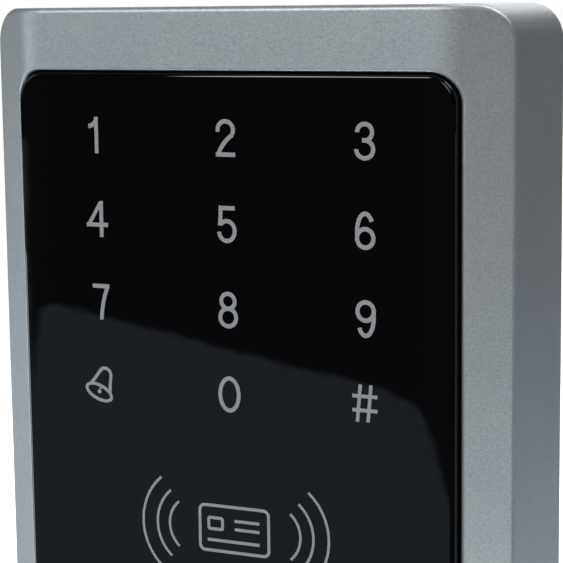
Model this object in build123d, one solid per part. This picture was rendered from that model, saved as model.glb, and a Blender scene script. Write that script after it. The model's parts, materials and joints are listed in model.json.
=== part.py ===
from build123d import *
import os
from math import cos, radians, sin

# RFID card reader with a touch keypad, on its wall plate.
# Millimetres. +X right, +Z up, +Y into the wall. The origin is the middle of the
# wall plate's back face, which lies on the wall (the plane Y = 0).

# ---------------------------------------------------------------- driving dimensions
WIDTH = 82.0
HEIGHT = 128.0
DEPTH = 27.0  # wall to front face
WALL_GAP = 1.0  # rim of the housing to the wall, so that the reader can tilt
CORNER_R = 5.2  # corners of the outline
SIDE_WALL = 2.5
FLAT_HALF_WIDTH = 32.6  # where the flat front turns into the flanks
FLANK_DROP = 5.4  # how far the outer edge lies behind the flat front
CREASE_R = 7.5
OUTER_EDGE_R = 0.8
LIP_R = 0.45

OPENING_HALF_WIDTH = 34.6
BEZEL = 9.0  # height of the silver band above and below the panel
OPENING_CORNER_R = 4.2
PANEL_GAP = 0.25
PANEL_THICK = 3.0
PANEL_EDGE_R = 0.7
ADHESIVE_THICK = 0.2
LEDGE_THICK = 2.4
LEDGE_WIDTH = 3.2

KEY_PITCH_X = 21.3
KEY_PITCH_Z = 12.25
TOP_KEY_DROP = 9.35  # top row's middle below the opening's top edge
CARD_MARK_DROP = 20.0  # card mark's middle below the bottom row
CARD_MARK_X = 0.4
GLYPH_HEIGHT = 5.3
GLYPH_WIDTH = 3.05
STROKE = 0.62
THIN_STROKE = 0.4
INLAY_DEPTH = 0.12
STATUS_Z = -38.0
STATUS_PITCH = 6.0
STATUS_R = 0.8

SEAT_WIDTH = 2.0  # step inside the rim that the rear cover sits on
SEAT_Y = -9.2
GASKET_THICK = 0.8
COVER_THICK = 2.0
COVER_GAP = 0.4
BOSS_X = 32.6
BOSS_Z = 55.6
BOSS_R = 3.4
POST_X = 33.9
POST_Z = 38.0
POST_R = 2.2

BOARD_THICK = 1.6
DIFFUSER_THICK = 1.05
ELECTRODE_THICK = 0.1
BOARD_SPACING = 5.2  # between the two boards
LED_HEIGHT = 0.8
LED_HOLE_R = 1.1

PLATE_THICK = 1.5
PLATE_HALF_WIDTH = 37.4
PLATE_TOP = 60.9
PLATE_BOTTOM = -59.2
HOOK_X = 22.0
HOOK_WIDTH = 12.0
HOOK_FRONT = -5.4
HOOK_TIP = 62.6
POCKET_CLEARANCE = 0.6
POCKET_FRONT = -6.6
POCKET_REAR = -3.2
POCKET_TOP = 63.1
CORNER_HOLE_R = 2.25
CORNER_HOLE_X = 27.0
CORNER_HOLE_Z = 45.0
SLOT_HALF_SPACING = 30.0
SLOT_HALF_WIDTH = 2.1
SLOT_LENGTH = 9.0
WIRE_WINDOW = (26.0, 20.0)

CABLE_Z = -18.0
CABLE_R = 3.2
GROMMET_R = 5.0
GROMMET_FLANGE_R = 6.6

TAMPER_X = -24.0
TAMPER_Z = 18.0
PLUNGER_R = 1.45
PLUNGER_RUN = 0.05
PLUNGER_TRAVEL = 1.2
PLUNGER_TIP_GAP = 0.15
PLUNGER_FLANGE_R = 2.4

SCREW_Y = -4.0
SCREW_R = 1.5
SCREW_HEAD_R = 2.6
HEAD_HEIGHT = 1.3
WASHER_THICK = 0.4
RECESS_TOP = -62.2
PAD_TOP = -59.8
PAD_HALF_WIDTH = 8.0
PAD_FRONT = -6.2
TAB_HALF_WIDTH = 7.0
TAB_FRONT = -6.0
BEND_R = 0.6  # inside radius of the wall plate's bends

MAIN_HALF_W = 35.5
MAIN_HALF_H = 58.5
COIL_Z = -12.0
COIL_OUTER = (26.0, 23.0, 9.0)  # half width, half height, corner radius
COIL_INNER = (22.6, 19.6, 5.6)
COIL_CORE = (20.8, 17.8, 3.8)
COIL_TRAY = 0.6
COIL_DEPTH = 2.6
MCU_PLACE = (2.0, 34.0)
MCU_SIZE = 10.0
READER_PLACE = (14.0, -4.0)
READER_SIZE = (3.9, 9.9)
CHIP_HEIGHT = 1.5
REGULATOR_PLACE = (-28.1, -27.3)
CRYSTAL_PLACE = (16.0, 29.0)
CAPACITOR_PLACES = [(-29.0, -7.0), (-19.5, -7.0), (-29.0, 4.0)]
BUZZER_PLACE = (22.5, -34.0)
RELAY_PLACE = (26.0, 14.0)
HEADER_PLACE = (0.0, -38.0)
HEADER_WAYS = 8
HEADER_PITCH = 2.5
CONNECTOR_Z = -45.0
SPACER_PLACE = (26.5, 46.0)

# ---------------------------------------------------------------- derived places
FRONT_Y = -DEPTH
RIM_Y = -WALL_GAP
HALF_W = WIDTH / 2
HALF_H = HEIGHT / 2
FLANK_Y = FRONT_Y + FLANK_DROP
OPENING_HALF_H = HALF_H - BEZEL
PANEL_BACK = FRONT_Y + PANEL_THICK
LEDGE_FRONT = PANEL_BACK + ADHESIVE_THICK
LEDGE_BACK = LEDGE_FRONT + LEDGE_THICK
WINDOW_HALF_W = OPENING_HALF_WIDTH - LEDGE_WIDTH
WINDOW_HALF_H = OPENING_HALF_H - LEDGE_WIDTH
RIM_HALF_W = HALF_W - SIDE_WALL
RIM_HALF_H = HALF_H - SIDE_WALL
CAVITY_HALF_W = RIM_HALF_W - SEAT_WIDTH
CAVITY_HALF_H = RIM_HALF_H - SEAT_WIDTH
COVER_FRONT = SEAT_Y + GASKET_THICK
COVER_BACK = COVER_FRONT + COVER_THICK
BOSS_END = COVER_FRONT - 0.1
TOP_KEY_Z = OPENING_HALF_H - TOP_KEY_DROP
CARD_MARK_Z = TOP_KEY_Z - 3 * KEY_PITCH_Z - CARD_MARK_DROP
DIFFUSER_BACK = PANEL_BACK + DIFFUSER_THICK
TOUCH_FRONT = DIFFUSER_BACK + ELECTRODE_THICK + 0.05
TOUCH_BACK = TOUCH_FRONT + BOARD_THICK
MAIN_FRONT = TOUCH_BACK + BOARD_SPACING
MAIN_BACK = MAIN_FRONT + BOARD_THICK

FRONT_PLANE = Plane(origin=(0, FRONT_Y, 0), x_dir=(1, 0, 0), z_dir=(0, -1, 0))

KEYS = [(column * KEY_PITCH_X, TOP_KEY_Z - row * KEY_PITCH_Z) for row in range(4) for column in (-1, 0, 1)]
STATUS_LIGHTS = [(place * STATUS_PITCH, STATUS_Z) for place in (-1, 0, 1)]


# ---------------------------------------------------------------- shape helpers
def block(x_range, y_range, z_range):
    """Box between two limits on each axis."""
    size = [high - low for low, high in (x_range, y_range, z_range)]
    middle = [(high + low) / 2 for low, high in (x_range, y_range, z_range)]
    return Pos(*middle) * Box(*size)


def rod_y(x, z, radius, y_range):
    """Cylinder along Y."""
    low, high = y_range
    return Pos(x, (low + high) / 2, z) * Rot(90, 0, 0) * Cylinder(radius, high - low)


def rod_z(x, y, radius, z_range):
    """Cylinder along Z."""
    low, high = z_range
    return Pos(x, y, (low + high) / 2) * Cylinder(radius, high - low)


def slab(half_width, half_height, corner, y_range, x=0.0, z=0.0):
    """Rounded rectangle parallel to the wall, given by its half sizes."""
    low, high = y_range
    plane = Plane(origin=(x, low, z), x_dir=(1, 0, 0), z_dir=(0, -1, 0))
    outline = plane * RectangleRounded(2 * half_width, 2 * half_height, corner)
    return extrude(outline, amount=low - high)


def frame_slab(outer, inner, y_range, x=0.0, z=0.0):
    """Rounded frame parallel to the wall; outer and inner are (half width, half height, corner)."""
    low, high = y_range
    return slab(*outer, y_range, x, z) - slab(*inner, (low - 1, high + 1), x, z)


def corners(x, z):
    """The four mirror images of one place."""
    return [(side * x, level * z) for side in (-1, 1) for level in (-1, 1)]


def group(solids):
    """Several separate solids kept as one part."""
    return Compound(children=list(solids))


# ---------------------------------------------------------------- housing
def housing_block():
    """Outer form: flat front, two sloping flanks and rounded corners."""
    outline = [
        (-HALF_W, RIM_Y),
        (-HALF_W, FLANK_Y),
        (-FLAT_HALF_WIDTH, FRONT_Y),
        (FLAT_HALF_WIDTH, FRONT_Y),
        (HALF_W, FLANK_Y),
        (HALF_W, RIM_Y),
    ]
    section = Plane.XY.offset(-HALF_H) * Polygon(*outline, align=None)
    creases = [v for v in section.vertices() if abs(v.Y - FRONT_Y) < 0.01]
    section = fillet(creases, CREASE_R)
    body = extrude(section, amount=HEIGHT, dir=(0, 0, 1))
    body = body & slab(HALF_W, HALF_H, CORNER_R, (FRONT_Y - 1, RIM_Y))
    return fillet(front_outline_edges(body), OUTER_EDGE_R)


def front_outline_edges(body):
    """Edges where the front meets the sides, top and bottom."""
    sides = (HALF_W, HALF_H)
    found = []
    for edge in body.edges():
        middle = edge.position_at(0.5)
        along = edge.tangent_at(0.5)
        off_corner = [max(0.0, abs(v) - (limit - CORNER_R)) for v, limit in zip((middle.X, middle.Z), sides)]
        on_outline = abs((off_corner[0] ** 2 + off_corner[1] ** 2) ** 0.5 - CORNER_R) < 0.02
        if on_outline and middle.Y < FLANK_Y + 0.01 and abs(along.Y) < 0.99:
            found.append(edge)
    return found


def boss_with_web(x, z):
    """Cover-screw boss, joined to the housing's corner by a web."""
    y_range = (LEDGE_BACK - 0.5, BOSS_END)
    side, level = (1 if x > 0 else -1), (1 if z > 0 else -1)
    web_x = sorted((x, side * (CAVITY_HALF_W + 0.5)))
    web_z = sorted((z, level * (CAVITY_HALF_H + 0.5)))
    return rod_y(x, z, BOSS_R, y_range) + block(web_x, (y_range[0], SEAT_Y), web_z)


def front_housing():
    body = housing_block()
    body -= slab(CAVITY_HALF_W, CAVITY_HALF_H, CORNER_R - SIDE_WALL - 1.5, (LEDGE_BACK, SEAT_Y))
    body -= slab(RIM_HALF_W, RIM_HALF_H, CORNER_R - SIDE_WALL, (SEAT_Y, RIM_Y + 1))
    body -= slab(OPENING_HALF_WIDTH, OPENING_HALF_H, OPENING_CORNER_R, (FRONT_Y - 2, LEDGE_FRONT))
    body -= slab(WINDOW_HALF_W, WINDOW_HALF_H, 2.0, (LEDGE_FRONT - 1, LEDGE_BACK + 1))
    body = fillet(opening_lip_edges(body), LIP_R)
    for x, z in corners(BOSS_X, BOSS_Z):
        body += boss_with_web(x, z)
        body -= rod_y(x, z, 1.05, (BOSS_END - 9.0, BOSS_END + 1))
    for x, z in corners(POST_X, POST_Z):
        body += rod_y(x, z, POST_R, (LEDGE_BACK - 0.5, MAIN_FRONT))
        body -= rod_y(x, z, 0.8, (MAIN_FRONT - 4.5, MAIN_FRONT + 1))
    half = HOOK_WIDTH / 2 + POCKET_CLEARANCE
    for x in (-HOOK_X, HOOK_X):
        body -= block((x - half, x + half), (POCKET_FRONT, POCKET_REAR), (RIM_HALF_H - 1, POCKET_TOP))
    return lock_notch(body)


def opening_lip_edges(body):
    """Front edges of the panel opening."""
    found = []
    for edge in body.edges():
        middle = edge.position_at(0.5)
        along = edge.tangent_at(0.5)
        inside = abs(middle.X) < OPENING_HALF_WIDTH + 0.01 and abs(middle.Z) < OPENING_HALF_H + 0.01
        outside = abs(middle.X) > WINDOW_HALF_W + 1 or abs(middle.Z) > WINDOW_HALF_H + 1
        if inside and outside and middle.Y < FLANK_Y - 1.0 and abs(along.Y) < 0.99:
            found.append(edge)
    return found


def lock_notch(body):
    """Bottom pad, screw-head recess and shank notch, both open towards the wall."""
    body += block((-PAD_HALF_WIDTH, PAD_HALF_WIDTH), (PAD_FRONT, RIM_Y), (-RIM_HALF_H - 0.5, PAD_TOP))
    recess = SCREW_HEAD_R + 0.2
    below = (-HALF_H - 1, RECESS_TOP)
    body -= rod_z(0, SCREW_Y, recess, below) + block((-recess, recess), (SCREW_Y, 0), below)
    shank = SCREW_R + 0.25
    through = (RECESS_TOP - 1, PAD_TOP + 1)
    body -= rod_z(0, SCREW_Y, shank, through) + block((-shank, shank), (SCREW_Y, 0), through)
    return body


# ---------------------------------------------------------------- legends
def pen(edges, width=STROKE):
    """A stroke of constant width along one run of edges."""
    return trace(edges, line_width=width)


def pen_line(*points, width=STROKE):
    return pen(Polyline(*points) if len(points) > 2 else Line(*points), width)


HALF_A = (GLYPH_WIDTH - STROKE) / 2  # half width between stroke centres
HALF_B = (GLYPH_HEIGHT - STROKE) / 2  # half height between stroke centres


def trimmed(glyph):
    """Cuts stroke ends square at the glyph's height."""
    return glyph & Rectangle(2 * GLYPH_WIDTH, GLYPH_HEIGHT)


def digit_0():
    outer_w, outer_h = GLYPH_WIDTH / 2 + 0.27, GLYPH_HEIGHT / 2
    return Ellipse(outer_w, outer_h) - Ellipse(outer_w - STROKE, outer_h - STROKE)


def digit_1():
    stem_x = 0.2
    flag = pen(ThreePointArc((stem_x + 0.05, HALF_B + 0.2), (-0.35, 1.55), (-1.1, 1.3)))
    return trimmed(pen_line((stem_x, HALF_B + STROKE), (stem_x, -HALF_B - STROKE)) + flag)


def digit_2():
    middle, low = HALF_B - 1.22, radians(-42)
    end = (HALF_A * cos(low), middle + 1.22 * sin(low))
    bowl = pen(EllipticalCenterArc((0, middle), HALF_A, 1.22, -42, arc_size=234))
    tail = pen(ThreePointArc(end, (-0.28, -0.78), (-HALF_A + 0.02, -HALF_B - 0.1)))
    foot = pen_line((-HALF_A - STROKE / 2, -HALF_B), (HALF_A + STROKE / 2, -HALF_B))
    return trimmed(bowl + tail + foot + Pos(*end) * Circle(STROKE / 2))


def digit_3():
    top_h, low_h = 1.12, 1.22
    top = pen(EllipticalCenterArc((0, HALF_B - top_h), 1.1, top_h, -88, arc_size=268))
    low = pen(EllipticalCenterArc((0, -HALF_B + low_h), HALF_A + 0.04, low_h, 180, arc_size=268))
    return top + low + pen_line((-0.4, HALF_B - 2 * top_h), (0.15, HALF_B - 2 * top_h))


def digit_4():
    bar, stem_x, reach = -0.85, 0.7, 1.8
    stem = pen_line((stem_x, HALF_B + STROKE), (stem_x, -HALF_B - STROKE))
    slope = pen_line((stem_x + 0.16, HALF_B + 0.5), (-reach + 0.3, bar - 0.12), width=0.56)
    return trimmed(stem + slope + pen_line((-reach, bar), (reach, bar)))


def digit_5():
    bowl_h = 1.42
    bowl = pen(EllipticalCenterArc((0, -HALF_B + bowl_h), HALF_A + 0.03, bowl_h, 186, arc_size=314))
    back = pen_line((-0.92, HALF_B), (-1.06, -0.16))
    return trimmed(bowl + back + pen_line((-0.92 - STROKE / 2, HALF_B), (HALF_A + 0.1, HALF_B)))


def digit_6():
    loop_h = 1.28
    loop = Ellipse(HALF_A + STROKE / 2, loop_h + STROKE / 2)
    loop -= Ellipse(HALF_A - STROKE / 2, loop_h - STROKE / 2)
    stem = pen(EllipticalCenterArc((0, -0.25), HALF_A, HALF_B + 0.25, 36, arc_size=154))
    return trimmed(Pos(0, -HALF_B + loop_h) * loop + stem)


def digit_7():
    slope = pen(ThreePointArc((HALF_A + 0.3, HALF_B + 0.1), (0.75, 0.2), (0.32, -HALF_B - STROKE)))
    return trimmed(slope + pen_line((-1.05, HALF_B), (HALF_A + 0.55, HALF_B)))


def digit_8():
    rings = Sketch()
    top_r, low_r = 1.07, 1.27
    for level, radius in ((HALF_B - top_r, top_r), (-HALF_B + low_r, low_r)):
        rings += Pos(0, level) * (Circle(radius + STROKE / 2) - Circle(radius - STROKE / 2))
    return rings


def digit_9():
    return Rot(0, 0, 180) * digit_6()


def hash_sign():
    lean, column, row, reach, line = 0.25, 0.8, 1.0, 1.9, 0.52
    above_middle, left_of_middle = 0.38, 0.2
    sign = Sketch()
    for side in (-1, 1):
        stroke_x = side * column - 0.1
        sign += pen_line((stroke_x + lean, HALF_B + line), (stroke_x - lean, -HALF_B - line), width=line)
        sign += pen_line((-reach, side * row), (reach, side * row), width=line)
    return Pos(-left_of_middle, above_middle) * trimmed(sign)


def bell():
    """Outline of a bell that leans to the right, seen a little from below, with its clapper."""
    line, mouth_y, shoulder_y, shoulder_x = 0.5, -1.5, 1.6, 0.98
    mouth = Ellipse(2.46, 1.28) - Ellipse(2.46 - line, 1.28 - line)
    side = ThreePointArc((-1.72, mouth_y + 0.75), (-1.25, 0.6), (-shoulder_x, shoulder_y))
    dome = ThreePointArc((-shoulder_x, shoulder_y), (0, shoulder_y + 0.78), (shoulder_x, shoulder_y))
    skirt = pen(side, line) + pen(dome, line) + pen(mirror(side, Plane.YZ), line)
    for x in (-shoulder_x, shoulder_x):
        skirt += Pos(x, shoulder_y) * Circle(line / 2)
    clapper = Pos(0, mouth_y + 0.1) * Circle(0.32) + pen_line((0, mouth_y), (0, mouth_y + 0.85), width=0.3)
    return Pos(0.14, 0.06) * Rot(0, 0, -22) * (Pos(0, mouth_y) * mouth + skirt + clapper)


def radio_arcs():
    """Three arcs on each side of the mark's middle, like waves leaving it."""
    centre_x, half_angle = 6.2, 50
    arcs = []
    for facing in (180, 0):
        centre = (centre_x if facing == 0 else -centre_x, 0)
        for radius in (4.4, 6.45, 8.85):
            arcs.append(pen(CenterArc(centre, radius, facing - half_angle, 2 * half_angle), THIN_STROKE))
    return arcs


def card_pictogram():
    """Plain outline of a card with its chip and three lines."""
    line = 0.46
    width, height = 11.6, 7.2
    card = RectangleRounded(width, height, 1.05) - RectangleRounded(width - 2 * line, height - 2 * line, 0.6)
    chip = Pos(-3.0, 0.7) * (RectangleRounded(2.7, 2.1, 0.45) - RectangleRounded(1.8, 1.2, 0.15))
    lines = [Pos(2.1, level) * Rectangle(4.0, line) for level in (1.35, 0.1)]
    return [card, chip, *lines, Pos(-0.12, -1.8) * Rectangle(8.44, line)]


def inlay(sketch, x, z):
    """Legend sunk flush into the panel's front face."""
    return extrude(FRONT_PLANE * Pos(x, z) * sketch, amount=-INLAY_DEPTH)


def key_legends():
    glyphs = [digit_1, digit_2, digit_3, digit_4, digit_5, digit_6, digit_7, digit_8, digit_9]
    glyphs += [bell, digit_0, hash_sign]
    solids = []
    for glyph, (x, z) in zip(glyphs, KEYS):
        solids += inlay(glyph(), x, z).solids()
    return group(solids)


def card_symbol():
    solids = []
    for piece in radio_arcs() + card_pictogram():
        solids += inlay(piece, CARD_MARK_X, CARD_MARK_Z).solids()
    return group(solids)


# ---------------------------------------------------------------- panel and what lies behind it
def touch_panel(legends, mark):
    half_w, half_h = OPENING_HALF_WIDTH - PANEL_GAP, OPENING_HALF_H - PANEL_GAP
    panel = slab(half_w, half_h, OPENING_CORNER_R - PANEL_GAP, (FRONT_Y, PANEL_BACK))
    rim = [e for e in panel.edges() if e.position_at(0.5).Y < FRONT_Y + 0.01]
    panel = fillet(rim, PANEL_EDGE_R)
    for x, z in STATUS_LIGHTS:
        panel -= rod_y(x, z, STATUS_R, (FRONT_Y - 1, PANEL_BACK + 1))
    for piece in [*legends.solids(), *mark.solids()]:
        panel -= piece
    return panel


def status_windows():
    return group(rod_y(x, z, STATUS_R, (FRONT_Y, PANEL_BACK)) for x, z in STATUS_LIGHTS)


def panel_adhesive():
    outer = (OPENING_HALF_WIDTH - 0.4, OPENING_HALF_H - 0.4, OPENING_CORNER_R - 0.4)
    inner = (WINDOW_HALF_W + 0.1, WINDOW_HALF_H + 0.1, 2.1)
    return frame_slab(outer, inner, (PANEL_BACK, LEDGE_FRONT))


def light_diffuser():
    return slab(WINDOW_HALF_W - 0.4, WINDOW_HALF_H - 0.4, 1.6, (PANEL_BACK, DIFFUSER_BACK))


def touch_sensor_board():
    board = slab(WINDOW_HALF_W - 0.6, WINDOW_HALF_H - 0.6, 1.4, (TOUCH_FRONT, TOUCH_BACK))
    for x, z in KEYS + STATUS_LIGHTS:
        board -= rod_y(x, z, LED_HOLE_R, (TOUCH_FRONT - 1, TOUCH_BACK + 1))
    return board


def touch_electrodes():
    """One ring of copper round each key's light hole."""
    y_range = (TOUCH_FRONT - ELECTRODE_THICK, TOUCH_FRONT)
    return group(frame_slab((7.6, 4.9, 1.6), (1.5, 1.5, 1.4), y_range, x, z) for x, z in KEYS)


def reverse_led(x, z):
    """Surface-mount lamp on the board's back that shines through its hole."""
    y_range = (TOUCH_BACK, TOUCH_BACK + LED_HEIGHT)
    lens = rod_y(x, z, 0.8, (TOUCH_BACK - 0.7, TOUCH_BACK))
    return block((x - 1.7, x + 1.7), y_range, (z - 0.9, z + 0.9)) + lens


def board_spacers():
    return group(
        rod_y(x, z, 2.4, (TOUCH_BACK, MAIN_FRONT)) - rod_y(x, z, 1.1, (TOUCH_BACK - 1, MAIN_FRONT + 1))
        for x, z in corners(*SPACER_PLACE)
    )


def board_connector():
    """Plug and socket between the two boards, moulded as one stacked pair."""
    split = MAIN_FRONT - BOARD_SPACING / 2
    socket = block((-10, 10), (split, MAIN_FRONT), (CONNECTOR_Z - 2.5, CONNECTOR_Z + 2.5))
    return socket + block((-9.2, 9.2), (TOUCH_BACK, split), (CONNECTOR_Z - 1.8, CONNECTOR_Z + 1.8))


# ---------------------------------------------------------------- main board and its components
def main_board():
    """Board with its corners cut away for the bosses and holes for its own screws."""
    board = slab(MAIN_HALF_W, MAIN_HALF_H, 1.0, (MAIN_FRONT, MAIN_BACK))
    y_range = (MAIN_FRONT - 1, MAIN_BACK + 1)
    cut = 8.0  # half size of the square cut out at each corner
    centre_x = BOSS_X - BOSS_R - 0.4 + cut
    centre_z = BOSS_Z - BOSS_R - 0.4 + cut
    for x, z in corners(centre_x, centre_z):
        board -= slab(cut, cut, 1.0, y_range, x, z)
    for x, z in corners(POST_X, POST_Z):
        board -= rod_y(x, z, 1.1, y_range)
    return board


def coil_former():
    """Thin tray with an inner wall that the winding is wound round."""
    tray_front = MAIN_FRONT - COIL_TRAY
    inside = tuple(size - 0.1 for size in COIL_INNER)
    base = frame_slab(COIL_OUTER, COIL_CORE, (tray_front, MAIN_FRONT), z=COIL_Z)
    return base + frame_slab(inside, COIL_CORE, (tray_front - COIL_DEPTH - 0.2, tray_front), z=COIL_Z)


def antenna_coil():
    """Winding of enamelled wire, drawn as its outer form with two lead-out tails."""
    tray_front = MAIN_FRONT - COIL_TRAY
    ring = frame_slab(COIL_OUTER, COIL_INNER, (tray_front - COIL_DEPTH, tray_front), z=COIL_Z)
    top = COIL_Z + COIL_OUTER[1]
    tail_y, tail_r, tail_length = MAIN_FRONT - 1.0, 0.3, 5.0
    for x in (-2.0, 2.0):
        ring += rod_z(x, tail_y, tail_r, (top - 0.5, top + tail_length))
        ring += rod_y(x, top + tail_length, tail_r, (tail_y, MAIN_FRONT))
    return ring


def on_board(place, x_size, z_size, height):
    """Component body standing on the main board's back face."""
    x, z = place
    x_range = (x - x_size / 2, x + x_size / 2)
    body = block(x_range, (MAIN_BACK, MAIN_BACK + height), (z - z_size / 2, z + z_size / 2))
    top = [e for e in body.edges() if e.position_at(0.5).Y > MAIN_BACK + height - 0.01]
    return chamfer(top, min(0.25, height / 4))


def chip(place, x_size, z_size):
    """Moulded chip with a dimple that marks its first lead."""
    x, z = place
    dimple = rod_y(x - x_size / 2 + 1.0, z + z_size / 2 - 1.0, 0.4, (MAIN_BACK + 1.4, MAIN_BACK + 2))
    return on_board(place, x_size, z_size, CHIP_HEIGHT) - dimple


def microcontroller():
    return chip(MCU_PLACE, MCU_SIZE, MCU_SIZE)


def reader_chip():
    return chip(READER_PLACE, *READER_SIZE)


def lead(x_range, z_range):
    return block(x_range, (MAIN_BACK, MAIN_BACK + 0.3), z_range)


def chip_leads():
    """Flat leads of the two chips: four rows of ten and two rows of seven."""
    leads = []
    half, reach = 0.18, 1.0
    x, z = MCU_PLACE
    for place in range(10):
        along = (place - 4.5) * 0.8
        for side in (-1, 1):
            out = sorted((side * MCU_SIZE / 2, side * (MCU_SIZE / 2 + reach)))
            leads.append(lead((x + out[0], x + out[1]), (z + along - half, z + along + half)))
            leads.append(lead((x + along - half, x + along + half), (z + out[0], z + out[1])))
    x, z = READER_PLACE
    for place in range(7):
        along = (place - 3) * 1.27
        for side in (-1, 1):
            out = sorted((side * READER_SIZE[0] / 2, side * (READER_SIZE[0] / 2 + reach)))
            leads.append(lead((x + out[0], x + out[1]), (z + along - half, z + along + half)))
    return group(leads)


def voltage_regulator():
    """Power package with its cooling tab."""
    x, z = REGULATOR_PLACE
    tab = block((x - 3.3, x + 3.3), (MAIN_BACK, MAIN_BACK + 0.5), (z + 2.5, z + 6.3))
    return on_board(REGULATOR_PLACE, 6.6, 6.2, 2.3) + tab


def crystal():
    plane = Plane(origin=(CRYSTAL_PLACE[0], MAIN_BACK, CRYSTAL_PLACE[1]), x_dir=(1, 0, 0), z_dir=(0, 1, 0))
    return extrude(plane * SlotOverall(11.0, 4.6), amount=3.5)


def capacitors():
    """Three upright electrolytic cans on square feet."""
    foot_height, can_height = 0.8, 4.5
    cans = []
    for x, z in CAPACITOR_PLACES:
        foot_back = MAIN_BACK + foot_height
        foot = block((x - 3.3, x + 3.3), (MAIN_BACK, foot_back), (z - 3.3, z + 3.3))
        cans.append(foot + rod_y(x, z, 3.1, (foot_back, foot_back + can_height)))
    return group(cans)


def buzzer():
    """Round sounder with its sound hole towards the rear cover."""
    height = 5.2
    body = rod_y(*BUZZER_PLACE, 6.0, (MAIN_BACK, MAIN_BACK + height))
    return body - rod_y(*BUZZER_PLACE, 1.0, (MAIN_BACK + height - 1.6, MAIN_BACK + height + 1))


def relay():
    return on_board(RELAY_PLACE, 10.2, 15.2, 5.3)


def wire_header():
    """Shrouded header, open towards the wall, with a keying gap in its lower side."""
    x, z = HEADER_PLACE
    half, wall, floor = HEADER_WAYS * HEADER_PITCH / 2 + 0.6, 0.7, 1.4
    body = block((x - half, x + half), (MAIN_BACK, MAIN_BACK + 5.4), (z - 3.0, z + 3.0))
    inside = (MAIN_BACK + floor, MAIN_BACK + 6)
    body -= block((x - half + wall, x + half - wall), inside, (z - 3.0 + wall, z + 3.0 - wall))
    return body - block((x - 5, x + 5), inside, (z - 4, z - 2))


def header_pins():
    x, z = HEADER_PLACE
    first = x - (HEADER_WAYS - 1) * HEADER_PITCH / 2
    places = [first + HEADER_PITCH * way for way in range(HEADER_WAYS)]
    y_range = (MAIN_BACK + 1.4, MAIN_BACK + 4.6)
    return group(block((p - 0.32, p + 0.32), y_range, (z - 0.32, z + 0.32)) for p in places)


# ---------------------------------------------------------------- rear closure
def pan_screw(x, z, shank_r, head_r, head_height, y_head, length):
    """Cross-recessed pan-head screw whose head faces the wall."""
    head = rod_y(x, z, head_r, (y_head, y_head + head_height))
    edge = [e for e in head.edges() if e.position_at(0.5).Y > y_head + head_height - 0.01]
    head = fillet(edge, head_height * 0.45)
    slot = head_r * 0.62
    deep = (y_head + head_height * 0.45, y_head + head_height + 1)
    for half_x, half_z in ((slot, 0.22), (0.22, slot)):
        head -= block((x - half_x, x + half_x), deep, (z - half_z, z + half_z))
    return head + rod_y(x, z, shank_r, (y_head - length, y_head))


def board_screws():
    return group(pan_screw(x, z, 0.75, 1.8, 1.2, MAIN_BACK, 5.5) for x, z in corners(POST_X, POST_Z))


def cover_screws():
    return group(pan_screw(x, z, 1.0, 2.3, 1.6, COVER_BACK, 9.5) for x, z in corners(BOSS_X, BOSS_Z))


def cover_gasket():
    outer = (RIM_HALF_W - 0.4, RIM_HALF_H - 0.4, CORNER_R - SIDE_WALL - 0.4)
    inner = (CAVITY_HALF_W + 0.2, CAVITY_HALF_H + 0.2, 2.2)
    return frame_slab(outer, inner, (SEAT_Y, COVER_FRONT))


def rear_cover():
    half_w, half_h = RIM_HALF_W - COVER_GAP, RIM_HALF_H - COVER_GAP
    cover = slab(half_w, half_h, CORNER_R - SIDE_WALL - COVER_GAP, (COVER_FRONT, COVER_BACK))
    cover += rod_y(0, CABLE_Z, GROMMET_R + 3.2, (COVER_BACK - 0.5, COVER_BACK + 0.7))
    cover += rod_y(TAMPER_X, TAMPER_Z, 3.4, (COVER_BACK - 0.5, COVER_BACK + 1.0))
    for level in (-1, 1):
        for side in (-1, 1):
            ribs_x = sorted((side * 12.0, side * 27.0))
            cover += block(ribs_x, (COVER_BACK - 0.5, COVER_BACK + 0.6), (level * 42 - 0.6, level * 42 + 0.6))
    through = (COVER_FRONT - 1, COVER_BACK + 2)
    for x, z in corners(BOSS_X, BOSS_Z):
        cover -= rod_y(x, z, 1.3, through)
    cover -= rod_y(0, CABLE_Z, GROMMET_R, through)
    cover -= rod_y(TAMPER_X, TAMPER_Z, PLUNGER_R + PLUNGER_RUN, through)
    return cover


def cable_grommet():
    """Rubber inlet: neck in the cover's hole, a flange each side and a bore for the cable."""
    collar_back = COVER_BACK + 0.7
    body = rod_y(0, CABLE_Z, GROMMET_R, (COVER_FRONT, collar_back))
    body += rod_y(0, CABLE_Z, GROMMET_FLANGE_R, (COVER_FRONT - 1.2, COVER_FRONT))
    outer = rod_y(0, CABLE_Z, GROMMET_FLANGE_R, (collar_back, collar_back + 1.4))
    rim = [e for e in outer.edges() if e.position_at(0.5).Y > collar_back + 1.39]
    body += fillet(rim, 1.0)
    return body - rod_y(0, CABLE_Z, CABLE_R, (COVER_FRONT - 3, collar_back + 3))


# ---------------------------------------------------------------- tamper sensor
SWITCH_TOP = MAIN_BACK + 1.9
BUTTON_TOP = SWITCH_TOP + 0.5
FLANGE_BACK = COVER_FRONT - PLUNGER_TRAVEL - 0.2
FLANGE_FRONT = FLANGE_BACK - 0.8


def tamper_switch():
    body = block((TAMPER_X - 3, TAMPER_X + 3), (MAIN_BACK, SWITCH_TOP), (TAMPER_Z - 3, TAMPER_Z + 3))
    body = chamfer(body.edges().filter_by(Axis.Y), 0.4)
    return body + rod_y(TAMPER_X, TAMPER_Z, 1.2, (SWITCH_TOP - 0.5, BUTTON_TOP))


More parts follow.
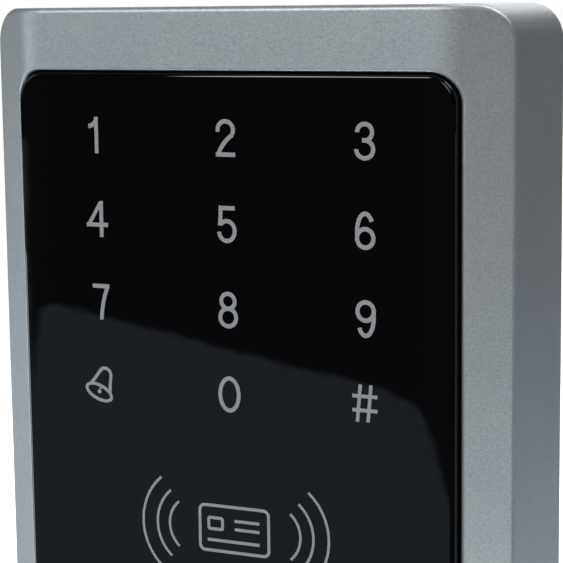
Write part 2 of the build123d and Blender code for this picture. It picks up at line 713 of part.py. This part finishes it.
def tamper_plunger():
    """Pin that the wall holds in, with a flange behind the cover and a nose on the switch."""
    pin = rod_y(TAMPER_X, TAMPER_Z, PLUNGER_R, (FLANGE_BACK - 0.2, -PLUNGER_TIP_GAP))
    tip = [e for e in pin.edges() if e.position_at(0.5).Y > -PLUNGER_TIP_GAP - 0.01]
    pin = fillet(tip, 0.6)
    pin += rod_y(TAMPER_X, TAMPER_Z, PLUNGER_FLANGE_R, (FLANGE_FRONT, FLANGE_BACK))
    return pin + rod_y(TAMPER_X, TAMPER_Z, 0.9, (BUTTON_TOP + 0.1, FLANGE_FRONT))


def tamper_spring():
    """Compression spring between the switch and the plunger's flange."""
    wire_r, mean_r, turns = 0.18, 1.75, 3
    length = FLANGE_FRONT - SWITCH_TOP - 2 * wire_r - 0.04
    path = Helix(pitch=length / turns, height=length, radius=mean_r)
    start = Plane(origin=path.position_at(0), z_dir=path.tangent_at(0))
    coil = sweep(start * Circle(wire_r), path=path)
    return Pos(TAMPER_X, SWITCH_TOP + wire_r + 0.02, TAMPER_Z) * Rot(-90, 0, 0) * coil


# ---------------------------------------------------------------- wall plate and its lock
def edges_along_x(shape, y, z):
    """Edges parallel to X that lie at one Y and Z."""
    middles = [(e, e.position_at(0.5)) for e in shape.edges().filter_by(Axis.X)]
    return [e for e, middle in middles if abs(middle.Y - y) < 0.01 and abs(middle.Z - z) < 0.01]


def hook(x):
    """Hook bent forward and up from the wall plate's top edge."""
    x_range = (x - HOOK_WIDTH / 2, x + HOOK_WIDTH / 2)
    leg = block(x_range, (HOOK_FRONT, -PLATE_THICK), (PLATE_TOP - PLATE_THICK, PLATE_TOP))
    upstand = block(x_range, (HOOK_FRONT, HOOK_FRONT + PLATE_THICK), (PLATE_TOP - 1, HOOK_TIP))
    tip = [e for e in upstand.edges().filter_by(Axis.Y) if e.position_at(0.5).Z > HOOK_TIP - 0.01]
    bent = leg + fillet(tip, 1.0)
    bent = fillet(edges_along_x(bent, HOOK_FRONT, PLATE_TOP - PLATE_THICK), BEND_R + PLATE_THICK - 0.7)
    return bent


def lock_tab():
    """Tab bent forward from the bottom edge, with a drawn collar for the security screw."""
    tab_top = PLATE_BOTTOM + PLATE_THICK
    tab = block((-TAB_HALF_WIDTH, TAB_HALF_WIDTH), (TAB_FRONT, -PLATE_THICK), (PLATE_BOTTOM, tab_top))
    ends = [e for e in tab.edges().filter_by(Axis.Z) if e.position_at(0.5).Y < TAB_FRONT + 0.1]
    return fillet(ends, 1.2) + rod_z(0, SCREW_Y, 2.1, (tab_top - 0.5, tab_top + 1.5))


def wall_plate():
    middle = (PLATE_TOP + PLATE_BOTTOM) / 2
    half_h = (PLATE_TOP - PLATE_BOTTOM) / 2
    plate = slab(PLATE_HALF_WIDTH, half_h, 3.2, (-PLATE_THICK, 0), z=middle)
    for x in (-HOOK_X, HOOK_X):
        plate += hook(x)
    plate += lock_tab()
    plate -= rod_z(0, SCREW_Y, SCREW_R + 0.05, (PLATE_BOTTOM - 1, PLATE_BOTTOM + 6))
    through = (-PLATE_THICK - 1, 1)
    for x, z in corners(CORNER_HOLE_X, CORNER_HOLE_Z):
        plate -= rod_y(x, z, CORNER_HOLE_R, through)
    for z in (-SLOT_HALF_SPACING, SLOT_HALF_SPACING):
        plate -= slab(SLOT_HALF_WIDTH, SLOT_LENGTH / 2, SLOT_HALF_WIDTH - 0.001, through, z=z)
    plate -= slab(WIRE_WINDOW[0] / 2, WIRE_WINDOW[1] / 2, 3.0, through, z=CABLE_Z + 4)
    return plate - rod_y(TAMPER_X, TAMPER_Z, 2.6, through)


WASHER_TOP = RECESS_TOP - 0.05
HEAD_TOP = WASHER_TOP - WASHER_THICK - 0.03
SCREW_TIP = PLATE_BOTTOM + PLATE_THICK + 2.6


def security_washer():
    ring = rod_z(0, SCREW_Y, SCREW_HEAD_R, (WASHER_TOP - WASHER_THICK, WASHER_TOP))
    return ring - rod_z(0, SCREW_Y, SCREW_R + 0.05, (WASHER_TOP - 2, WASHER_TOP + 1))


def security_screw():
    """Machine screw with a hexagon socket and a centre pin, driven from below."""
    low = HEAD_TOP - HEAD_HEIGHT
    head = rod_z(0, SCREW_Y, SCREW_HEAD_R, (low, HEAD_TOP))
    rim = [e for e in head.edges() if e.position_at(0.5).Z < low + 0.01]
    head = fillet(rim, 0.35)
    socket = extrude(Plane(origin=(0, SCREW_Y, low)) * RegularPolygon(1.15, 6), amount=0.85)
    head = head - socket + rod_z(0, SCREW_Y, 0.35, (low + 0.15, low + 1.0))
    shank = rod_z(0, SCREW_Y, SCREW_R, (HEAD_TOP - 0.2, SCREW_TIP))
    tip = [e for e in shank.edges() if e.position_at(0.5).Z > SCREW_TIP - 0.01]
    return head + chamfer(tip, 0.4)


# ---------------------------------------------------------------- build
def build():
    legends, mark = key_legends(), card_symbol()
    return {
        "front_housing": front_housing(),
        "touch_panel": touch_panel(legends, mark),
        "key_legends": legends,
        "card_symbol": mark,
        "status_windows": status_windows(),
        "panel_adhesive": panel_adhesive(),
        "light_diffuser": light_diffuser(),
        "touch_sensor_board": touch_sensor_board(),
        "touch_electrodes": touch_electrodes(),
        "backlight_leds": group(reverse_led(x, z) for x, z in KEYS),
        "status_leds": group(reverse_led(x, z) for x, z in STATUS_LIGHTS),
        "board_spacers": board_spacers(),
        "board_connector": board_connector(),
        "main_board": main_board(),
        "board_screws": board_screws(),
        "coil_former": coil_former(),
        "antenna_coil": antenna_coil(),
        "microcontroller": microcontroller(),
        "reader_chip": reader_chip(),
        "chip_leads": chip_leads(),
        "voltage_regulator": voltage_regulator(),
        "crystal": crystal(),
        "capacitors": capacitors(),
        "buzzer": buzzer(),
        "relay": relay(),
        "wire_header": wire_header(),
        "header_pins": header_pins(),
        "cover_gasket": cover_gasket(),
        "rear_cover": rear_cover(),
        "cover_screws": cover_screws(),
        "cable_grommet": cable_grommet(),
        "tamper_switch": tamper_switch(),
        "tamper_spring": tamper_spring(),
        "tamper_plunger": tamper_plunger(),
        "wall_plate": wall_plate(),
        "security_washer": security_washer(),
        "security_screw": security_screw(),
    }


os.makedirs("parts", exist_ok=True)
for name, shape in build().items():
    export_step(shape, f"parts/{name}.step")
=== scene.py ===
import json
from math import cos, pi, radians, sin

import bmesh
import bpy
from mathutils import Matrix, Vector

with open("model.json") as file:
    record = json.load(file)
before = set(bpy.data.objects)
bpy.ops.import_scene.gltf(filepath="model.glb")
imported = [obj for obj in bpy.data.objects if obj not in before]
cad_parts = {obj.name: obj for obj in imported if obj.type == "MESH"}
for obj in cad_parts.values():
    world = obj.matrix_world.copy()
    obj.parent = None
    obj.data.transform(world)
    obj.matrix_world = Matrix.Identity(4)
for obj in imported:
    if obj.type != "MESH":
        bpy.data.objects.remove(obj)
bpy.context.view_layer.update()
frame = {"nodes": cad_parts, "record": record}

# RFID card reader in the row frame: metres, +X right, +Z up, the wall is the plane Y = 0.
MM = 0.001

# ---------------------------------------------------------------- camera
CAMERA_PLACE = Vector((0.1256, -0.2688, 0.0650))
CAMERA_YAW = 25.84  # degrees to the left of straight at the wall
CAMERA_PITCH = 8.32  # degrees downwards
CAMERA_ROLL = 0.695  # degrees
CAMERA_LENS = 123.9  # millimetres
SENSOR_WIDTH = 36.0  # millimetres
NEAREST_SEEN = 0.01

# ---------------------------------------------------------------- studio
FLOOR_Z = -0.30
STUDIO_RADIUS = 5.0
FLOOR_GLOW = 1.0
PAPER_COLOUR = (0.82, 0.83, 0.84)
MIRRORED_GLOW = 0.48
MIRRORED_TINT = (0.70, 0.85, 1.0)
ROOM_COLOUR = (0.02, 0.0204, 0.021)
BLACK = (0, 0, 0)
CLOTH_COLOUR = (0.02, 0.02, 0.022)
CLOTH_GLOW = 0.03
# Dark cloth in front of the reader: straight panels on the floor, from its right end.
FLAG_START = Vector((0.10, -0.80))
FLAG_PANELS = [(0.40, 195), (0.55, 245), (0.75, 210), (0.60, 58)]  # width, heading in degrees
FLAG_BEND = 0.10  # how far from a corner the cloth starts to turn
FLAG_TOP = 0.9
# Dark cloth behind on the right, far off: it keeps the floor's glow out of the right side.
REAR_FLAG = [Vector((1.30, 1.00)), Vector((-0.20, 1.90))]
# Dark cloth from the front one's right end: it keeps the glow out of the panel's rounded rim.
RIGHT_FLAG = [FLAG_START, Vector((1.20, 0.10))]
LOW_FLAG_TOP = 0.05  # of the rear and right cloths


# ---------------------------------------------------------------- node helpers
def node(tree, kind, inputs=None, **settings):
    """New shader node; an input is a value or another node's output."""
    made = tree.nodes.new(kind)
    for name, value in settings.items():
        setattr(made, name, value)
    for socket, value in (inputs or {}).items():
        if isinstance(value, bpy.types.NodeSocket):
            tree.links.new(value, made.inputs[socket])
        else:
            made.inputs[socket].default_value = value
    return made


def material(name, colour, roughness, **sockets):
    """Material with one Principled shader. Returns it with its tree, shader and object coordinates."""
    made = bpy.data.materials.new(name)
    made.use_nodes = True
    made.diffuse_color = (*colour, 1)
    tree = made.node_tree
    tree.nodes.clear()
    shader = node(tree, "ShaderNodeBsdfPrincipled", {"Base Color": (*colour, 1), "Roughness": roughness})
    for socket, value in sockets.items():
        shader.inputs[socket.replace("_", " ").title().replace("Ior", "IOR")].default_value = value
    node(tree, "ShaderNodeOutputMaterial", {"Surface": shader.outputs["BSDF"]})
    coords = node(tree, "ShaderNodeTexCoord").outputs["Object"]
    return made, tree, shader, coords


def noise(tree, coords, size, detail=2.0, stretch=(1, 1, 1)):
    """Noise whose features are about size millimetres across."""
    scaled = node(tree, "ShaderNodeMapping", {"Vector": coords, "Scale": stretch}).outputs[0]
    inputs = {"Vector": scaled, "Scale": 1 / (size * MM), "Detail": detail, "Roughness": 0.55}
    return node(tree, "ShaderNodeTexNoise", inputs).outputs[0]


def cells(tree, coords, size, output="Distance"):
    """Voronoi cells about size millimetres across."""
    inputs = {"Vector": coords, "Scale": 1 / (size * MM)}
    return node(tree, "ShaderNodeTexVoronoi", inputs).outputs[output]


def spread(tree, value, low, high, start=0.3, end=0.7):
    """Value between start and end, spread over low to high."""
    inputs = {"Value": value, "From Min": start, "From Max": end, "To Min": low, "To Max": high}
    return node(tree, "ShaderNodeMapRange", inputs).outputs[0]


def blend(tree, value, low, high, start=0.3, end=0.7):
    """Colour between low and high as value goes from start to end."""
    ramp = node(tree, "ShaderNodeValToRGB", {"Fac": value})
    ramp.color_ramp.elements[0].position = start
    ramp.color_ramp.elements[1].position = end
    ramp.color_ramp.elements[0].color = (*low, 1)
    ramp.color_ramp.elements[1].color = (*high, 1)
    return ramp.outputs[0]


def multiply(tree, one, other):
    """Product of two colours."""
    mix = node(tree, "ShaderNodeMix", data_type="RGBA", blend_type="MULTIPLY")
    mix.inputs["Factor"].default_value = 1.0
    colour_one, colour_two = [socket for socket in mix.inputs if socket.type == "RGBA"]
    tree.links.new(one, colour_one)
    tree.links.new(other, colour_two)
    return next(socket for socket in mix.outputs if socket.type == "RGBA")


def relief(tree, shader, height, depth, strength=1.0, below=None):
    """Bump of depth millimetres on the shader's normal."""
    inputs = {"Height": height, "Distance": depth * MM, "Strength": strength}
    if below is not None:
        inputs["Normal"] = below
    bump = node(tree, "ShaderNodeBump", inputs)
    tree.links.new(bump.outputs[0], shader.inputs["Normal"])
    return bump.outputs[0]


def link(tree, value, shader, socket):
    """Feeds a node's output into one of the shader's sockets."""
    tree.links.new(value, shader.inputs[socket])


def shade(colour, factor):
    """Colour made darker or lighter by a factor."""
    return tuple(min(1.0, part * factor) for part in colour)


# ---------------------------------------------------------------- materials of what shows
def silver_paint():
    """Satin metallic lacquer: fine flakes, a slow drift of tone and a faint orange peel."""
    base = (0.315, 0.345, 0.365)
    made, tree, shader, coords = material("silver_paint", base, 0.42, metallic=0.62, coat_weight=0.12)
    shader.inputs["Coat Roughness"].default_value = 0.25
    flakes = node(tree, "ShaderNodeSeparateColor", {"Color": cells(tree, coords, 0.14, "Color")}).outputs[0]
    tone = blend(tree, flakes, shade(base, 0.84), shade(base, 1.16), 0.0, 1.0)
    drift = blend(tree, noise(tree, coords, 9.0, 3.0), (0.95, 0.955, 0.96), (1.0, 0.995, 0.985))
    link(tree, multiply(tree, tone, drift), shader, "Base Color")
    link(tree, spread(tree, noise(tree, coords, 0.35, 3.0), 0.36, 0.48), shader, "Roughness")
    peel = relief(tree, shader, noise(tree, coords, 0.9, 2.0), 0.012, 0.6)
    relief(tree, shader, noise(tree, coords, 0.22, 2.0), 0.008, 0.6, peel)
    return made


def black_acrylic():
    """Black gloss sheet: a slight wave in its face, faint wipe marks and a little fine grain."""
    base = (0.0010, 0.0011, 0.0014)
    made, tree, shader, coords = material("black_acrylic", base, 0.02, ior=1.40)
    wipes = noise(tree, coords, 3.0, 5.0, (1.0, 1.0, 0.35))
    link(tree, spread(tree, wipes, 0.010, 0.022), shader, "Roughness")
    wave = relief(tree, shader, noise(tree, coords, 6.0, 1.5), 0.02, 0.25)
    relief(tree, shader, noise(tree, coords, 0.16, 2.0), 0.0006, 0.5, wave)
    return made


def legend_ink():
    """Grey screen print with the mesh's faint unevenness."""
    base = (0.205, 0.215, 0.225)
    made, tree, shader, coords = material("legend_ink", base, 0.32, ior=1.42)
    mesh = noise(tree, coords, 0.3, 3.0)
    link(tree, blend(tree, mesh, shade(base, 0.88), shade(base, 1.1)), shader, "Base Color")
    relief(tree, shader, noise(tree, coords, 0.1, 1.0), 0.003, 0.4)
    return made


def smoked_lens():
    """Dark clear plastic, almost black until the lamp behind it lights."""
    base = (0.006, 0.005, 0.005)
    made, tree, shader, coords = material("smoked_lens", base, 0.08, ior=1.5)
    haze = noise(tree, coords, 0.8)
    link(tree, blend(tree, haze, shade(base, 0.7), shade(base, 1.5)), shader, "Base Color")
    relief(tree, shader, haze, 0.002, 0.3)
    return made


def galvanised_steel():
    """Zinc spangle over rolled sheet, with a duller film between the crystals."""
    base = (0.47, 0.49, 0.50)
    made, tree, shader, coords = material("galvanised_steel", base, 0.42, metallic=0.9)
    bent = noise(tree, coords, 4.0, 3.0)
    spangle = node(tree, "ShaderNodeSeparateColor", {"Color": cells(tree, coords, 4.2, "Color")}).outputs[0]
    tone = blend(tree, spangle, shade(base, 0.92), shade(base, 1.05), 0.0, 1.0)
    film = blend(tree, bent, (0.9, 0.91, 0.92), (1, 1, 1))
    link(tree, multiply(tree, tone, film), shader, "Base Color")
    link(tree, spread(tree, spangle, 0.42, 0.50, 0.0, 1.0), shader, "Roughness")
    rolled = relief(tree, shader, noise(tree, coords, 0.5, 3.0, (0.15, 1, 1)), 0.01, 0.5)
    relief(tree, shader, cells(tree, coords, 4.2), 0.02, 0.35, rolled)
    return made


def turned_metal(name, base, roughness):
    """Bright machined metal with fine tool marks."""
    made, tree, shader, coords = material(name, base, roughness, metallic=1.0)
    marks = noise(tree, coords, 0.25, 2.0, (1, 1, 6))
    link(tree, blend(tree, marks, shade(base, 0.88), shade(base, 1.06)), shader, "Base Color")
    link(tree, spread(tree, marks, roughness * 0.8, roughness * 1.25), shader, "Roughness")
    relief(tree, shader, marks, 0.006, 0.5)
    return made


def spark_texture(name, base, roughness, size=0.45, depth=0.02):
    """Moulded plastic with the even pits of a spark-eroded tool."""
    made, tree, shader, coords = material(name, base, roughness, ior=1.5)
    pits = noise(tree, coords, size, 4.0)
    flow = noise(tree, coords, 18.0, 2.0)
    link(tree, blend(tree, flow, shade(base, 0.86), shade(base, 1.14)), shader, "Base Color")
    link(tree, spread(tree, pits, roughness * 0.85, min(1.0, roughness * 1.15)), shader, "Roughness")
    relief(tree, shader, pits, depth, 0.7)
    return made


def plain_moulding(name, base, roughness, translucence):
    """Smooth moulded plastic with flow lines, which lets a little light into its surface."""
    made, tree, shader, coords = material(name, base, roughness, subsurface_weight=translucence)
    shader.inputs["Subsurface Scale"].default_value = 0.6 * MM
    flow = noise(tree, coords, 2.4, 3.0, (1, 1, 0.4))
    link(tree, blend(tree, flow, shade(base, 0.92), shade(base, 1.05)), shader, "Base Color")
    link(tree, spread(tree, flow, roughness * 0.88, roughness * 1.12), shader, "Roughness")
    relief(tree, shader, noise(tree, coords, 0.35, 2.0), 0.006, 0.5)
    return made


def rubber(name, base):
    """Matt rubber with bloom and a fine mould grain."""
    made, tree, shader, coords = material(name, base, 0.78, sheen_weight=0.15)
    shader.inputs["Sheen Roughness"].default_value = 0.6
    bloom = noise(tree, coords, 1.6, 4.0)
    link(tree, blend(tree, bloom, shade(base, 0.85), shade(base, 1.5)), shader, "Base Color")
    link(tree, spread(tree, bloom, 0.7, 0.86), shader, "Roughness")
    relief(tree, shader, noise(tree, coords, 0.18, 3.0), 0.012, 0.7)
    return made


def circuit_board():
    """Green solder resist over copper tracks, which show as paler raised lines."""
    base = (0.008, 0.085, 0.035)
    made, tree, shader, coords = material("circuit_board", base, 0.3, ior=1.5)
    turned = node(tree, "ShaderNodeMapping", {"Vector": coords, "Rotation": (pi / 2, 0, 0)}).outputs[0]
    inputs = {"Vector": turned, "Scale": 1 / (9 * MM)}
    inputs |= {"Mortar Size": 0.03, "Brick Width": 0.9, "Row Height": 0.22}
    tracks = node(tree, "ShaderNodeTexBrick", inputs, offset=0.37, squash=0.7).outputs["Fac"]
    weave = noise(tree, coords, 0.5, 2.0)
    tone = blend(tree, tracks, shade(base, 0.9), shade(base, 1.7), 0.2, 0.8)
    cloth = blend(tree, weave, (0.88, 0.9, 0.88), (1, 1, 1))
    link(tree, multiply(tree, tone, cloth), shader, "Base Color")
    relief(tree, shader, tracks, 0.03, 0.8)
    return made


def wound_copper():
    """Enamelled wire: rows of fine turns with a warm varnish."""
    base = (0.62, 0.24, 0.09)
    made, tree, shader, coords = material("copper", base, 0.3, metallic=0.9, coat_weight=0.5)
    inputs = {"Vector": coords, "Scale": 1 / (1.2 * MM), "Distortion": 0.6, "Detail": 1.0}
    turns = node(tree, "ShaderNodeTexWave", inputs, bands_direction="Y").outputs["Fac"]
    link(tree, blend(tree, turns, shade(base, 0.6), shade(base, 1.15), 0.1, 0.9), shader, "Base Color")
    relief(tree, shader, turns, 0.05, 0.7)
    return made


def opal_diffuser():
    """Milky sheet with a slow drift of tone."""
    base = (0.76, 0.77, 0.77)
    made, tree, shader, coords = material("white_diffuser", base, 0.55, subsurface_weight=0.4)
    shader.inputs["Subsurface Scale"].default_value = 1.5 * MM
    haze = noise(tree, coords, 5.0, 2.0)
    link(tree, blend(tree, haze, shade(base, 0.95), shade(base, 1.03)), shader, "Base Color")
    relief(tree, shader, noise(tree, coords, 0.3, 2.0), 0.01, 0.4)
    return made


def make_materials():
    """One material for each slot name of the record."""
    return {
        "silver_paint": silver_paint(),
        "black_acrylic": black_acrylic(),
        "legend_ink": legend_ink(),
        "smoked_lens": smoked_lens(),
        "adhesive_foam": rubber("adhesive_foam", (0.018, 0.018, 0.019)),
        "white_diffuser": opal_diffuser(),
        "circuit_board": circuit_board(),
        "copper": wound_copper(),
        "lamp_body": plain_moulding("lamp_body", (0.80, 0.77, 0.62), 0.35, 0.3),
        "nylon": plain_moulding("nylon", (0.70, 0.67, 0.58), 0.45, 0.3),
        "connector_plastic": spark_texture("connector_plastic", (0.016, 0.016, 0.018), 0.5, 0.3, 0.01),
        "zinc_plated": turned_metal("zinc_plated", (0.60, 0.62, 0.64), 0.28),
        "chip_epoxy": spark_texture("chip_epoxy", (0.022, 0.022, 0.024), 0.6, 0.25, 0.012),
        "tinned_metal": turned_metal("tinned_metal", (0.66, 0.66, 0.65), 0.22),
        "aluminium_can": turned_metal("aluminium_can", (0.72, 0.73, 0.74), 0.25),
        "black_rubber": rubber("black_rubber", (0.016, 0.016, 0.017)),
        "black_abs": spark_texture("black_abs", (0.022, 0.023, 0.025), 0.52),
        "spring_steel": turned_metal("spring_steel", (0.46, 0.46, 0.47), 0.3),
        "white_acetal": plain_moulding("white_acetal", (0.77, 0.77, 0.74), 0.4, 0.25),
        "galvanised_steel": galvanised_steel(),
        "stainless": turned_metal("stainless", (0.56, 0.55, 0.54), 0.25),
    }


def dress_nodes():
    """Gives every CAD node the material of its slot."""
    materials = make_materials()
    for part in frame["record"]["subparts"]:
        piece = frame["nodes"][part["node"]]
        piece.data.materials.clear()
        piece.data.materials.append(materials[part["material_slot"]])


# ---------------------------------------------------------------- stage
def stage_material(name, colour, glow, tint=(1, 1, 1)):
    """Matt paper or cloth with an even glow of its own."""
    made, tree, shader, coords = material(name, colour, 0.9, emission_strength=glow)
    shader.inputs["Emission Color"].default_value = (*tint, 1)
    shader.inputs["Specular IOR Level"].default_value = 0.1
    fibres = noise(tree, coords, 40.0, 3.0)
    link(tree, blend(tree, fibres, shade(colour, 0.985), colour), shader, "Base Color")
    return made


def stage_object(name, form, skin):
    """Stage piece from a finished mesh."""
    mesh = bpy.data.meshes.new(name)
    form.to_mesh(mesh)
    form.free()
    mesh.materials.append(skin)
    made = bpy.data.objects.new(name, mesh)
    bpy.context.scene.collection.objects.link(made)
    return made


def show_only_in(thing, view):
    """Shows a stage piece in one view alone: "camera" or "glossy", which is reflections."""
    thing.visible_camera = view == "camera"
    thing.visible_glossy = view == "glossy"
    thing.visible_diffuse = False
    thing.visible_transmission = False
    thing.visible_shadow = False


def floor_sheet(name, skin, height):
    """Level disc as wide as the studio."""
    form = bmesh.new()
    bmesh.ops.create_circle(form, cap_ends=True, radius=STUDIO_RADIUS, segments=96)
    sheet = stage_object(name, form, skin)
    sheet.location.z = height
    return sheet


def make_floor():
    """Pale floor for the camera, and just over it the greyer sheet that gloss reflects instead."""
    pale = stage_material("pale_paper", PAPER_COLOUR, FLOOR_GLOW)
    show_only_in(floor_sheet("pale_floor", pale, FLOOR_Z), "camera")
    dim = stage_material("mirrored_paper", BLACK, MIRRORED_GLOW, MIRRORED_TINT)
    show_only_in(floor_sheet("mirrored_floor", dim, FLOOR_Z + MM), "glossy")


def make_backdrop():
    """White surround for the camera."""
    form = bmesh.new()
    bmesh.ops.create_uvsphere(form, u_segments=48, v_segments=24, radius=STUDIO_RADIUS)
    white = stage_material("white_surround", BLACK, FLOOR_GLOW)
    show_only_in(stage_object("backdrop", form, white), "camera")


def flag_corners():
    """Where the cloth's panels meet on the floor, ends included."""
    found = [FLAG_START]
    for width, heading in FLAG_PANELS:
        step = Vector((cos(radians(heading)), sin(radians(heading))))
        found.append(found[-1] + width * step)
    return found


def rounded_line(points, reach):
    """Straight runs through points, with a soft turn that starts reach before each corner."""
    steps = 8
    line = [points[0]]
    for before, corner, after in zip(points, points[1:], points[2:]):
        start = corner + reach * (before - corner).normalized()
        end = corner + reach * (after - corner).normalized()
        for step in range(steps + 1):
            t = step / steps
            line.append((1 - t) ** 2 * start + 2 * t * (1 - t) * corner + t**2 * end)
    return [*line, points[-1]]


def make_flag(name, line, top, cloth):
    """Dark cloth that stands on the floor along a line and shows in reflections."""
    form = bmesh.new()
    low = [form.verts.new((x, y, FLOOR_Z)) for x, y in line]
    high = [form.verts.new((x, y, top)) for x, y in line]
    for index in range(len(line) - 1):
        form.faces.new((low[index], low[index + 1], high[index + 1], high[index]))
    show_only_in(stage_object(name, form, cloth), "glossy")


def softbox(name, place, size, power):
    """Area light that faces the middle of the reader and that no camera sees."""
    light = bpy.data.lights.new(name, "AREA")
    light.shape = "RECTANGLE"
    light.size, light.size_y = size
    light.energy = power
    lamp = bpy.data.objects.new(name, light)
    lamp.location = place
    lamp.visible_camera = False
    lamp.rotation_euler = (-Vector(place)).to_track_quat("-Z", "Y").to_euler()
    bpy.context.scene.collection.objects.link(lamp)


def make_lights():
    """Large boxes in front; the weaker ones shape the edges, the flanks and the back."""
    softbox("front_left_softbox", (-0.4, -1.5, 1.0), (1.0, 0.8), 28.0)
    softbox("front_right_softbox", (0.5, -1.5, 1.0), (1.0, 0.8), 9.5)
    softbox("left_softbox", (-1.1, -0.55, 0.45), (0.7, 0.9), 1.8)
    softbox("low_left_softbox", (-0.8, -0.35, -0.18), (0.5, 0.2), 1.5)
    softbox("low_front_softbox", (0.35, -0.42, -0.28), (0.4, 0.1), 0.85)
    softbox("under_softbox", (0.0, 0.0, -0.28), (0.4, 0.25), 2.0)
    softbox("low_rear_softbox", (0.30, 0.70, -0.28), (0.5, 0.1), 0.05)
    softbox("top_right_softbox", (0.55, 0.3, 0.85), (0.6, 0.5), 6.5)
    softbox("top_rear_softbox", (0.15, 0.3, 1.0), (0.6, 0.5), 3.2)
    softbox("rear_fill_softbox", (-0.5, 1.4, 0.35), (1.0, 0.8), 6.0)


def make_room():
    """Dim grey room around the stage."""
    world = bpy.data.worlds.new("room")
    world.use_nodes = True
    background = world.node_tree.nodes["Background"]
    background.inputs["Color"].default_value = (*ROOM_COLOUR, 1)
    bpy.context.scene.world = world


def make_camera():
    """Camera at a person's eye, a little to the right of the reader."""
    camera = bpy.data.cameras.new("camera")
    camera.lens = CAMERA_LENS
    camera.sensor_width = SENSOR_WIDTH
    camera.clip_start = NEAREST_SEEN
    camera.clip_end = 4 * STUDIO_RADIUS
    eye = bpy.data.objects.new("camera", camera)
    yaw = Matrix.Rotation(radians(CAMERA_YAW), 4, "Z")
    pitch = Matrix.Rotation(radians(90 - CAMERA_PITCH), 4, "X")
    roll = Matrix.Rotation(radians(-CAMERA_ROLL), 4, "Z")
    eye.matrix_world = Matrix.Translation(CAMERA_PLACE) @ yaw @ pitch @ roll
    bpy.context.scene.collection.objects.link(eye)
    bpy.context.scene.camera = eye


def make_stage():
    """Everything around the reader: floor, surround, cloths, lights, room and camera."""
    make_floor()
    make_backdrop()
    cloth = stage_material("dark_cloth", CLOTH_COLOUR, CLOTH_GLOW)
    make_flag("dark_flag", rounded_line(flag_corners(), FLAG_BEND), FLAG_TOP, cloth)
    make_flag("rear_flag", REAR_FLAG, LOW_FLAG_TOP, cloth)
    make_flag("right_flag", RIGHT_FLAG, LOW_FLAG_TOP, cloth)
    make_lights()
    make_room()
    make_camera()
    bpy.context.scene.view_settings.view_transform = "Standard"


dress_nodes()
make_stage()
